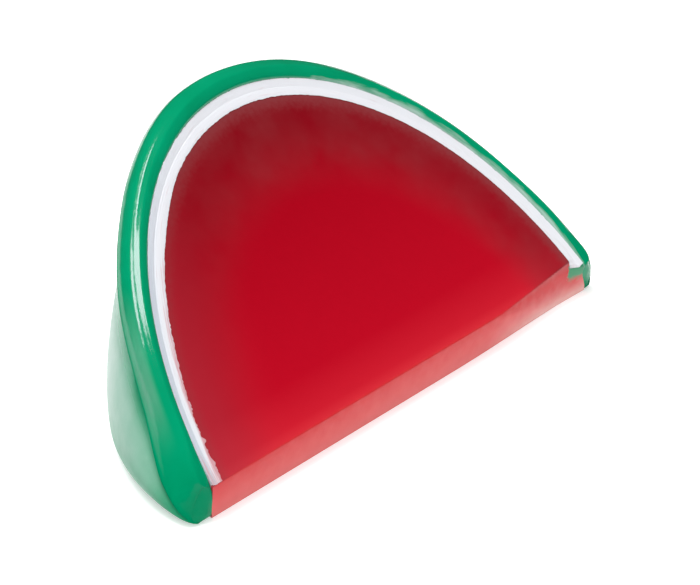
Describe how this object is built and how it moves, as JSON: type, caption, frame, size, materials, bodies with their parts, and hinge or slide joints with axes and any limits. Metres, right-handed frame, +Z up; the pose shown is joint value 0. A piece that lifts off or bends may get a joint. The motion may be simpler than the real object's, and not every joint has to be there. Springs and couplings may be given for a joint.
{
  "type": "candied watermelon wedge",
  "caption": "Wedge of moulded sugar candy coloured like a slice of watermelon: a clear red body, a white layer and a green rind with a raised rim, lying on its flat back.",
  "frame": {"origin": "on the ground under the middle of the wedge's box", "axes": "+X along the blunt thin edge, +Y from the thin edge towards the rind, +Z up"},
  "size_m": [0.0622, 0.0258, 0.0275],
  "materials": {
    "red_candy": "glossy clear red sugar candy, darker where it is thick",
    "white_candy": "smooth opaque white sugar candy",
    "green_candy": "glossy opaque green sugar candy"
  },
  "bodies": {
    "root": {"red_candy_body": "red_candy", "white_candy_layer": "white_candy", "green_candy_shell": "green_candy"}
  },
  "joints": []
}
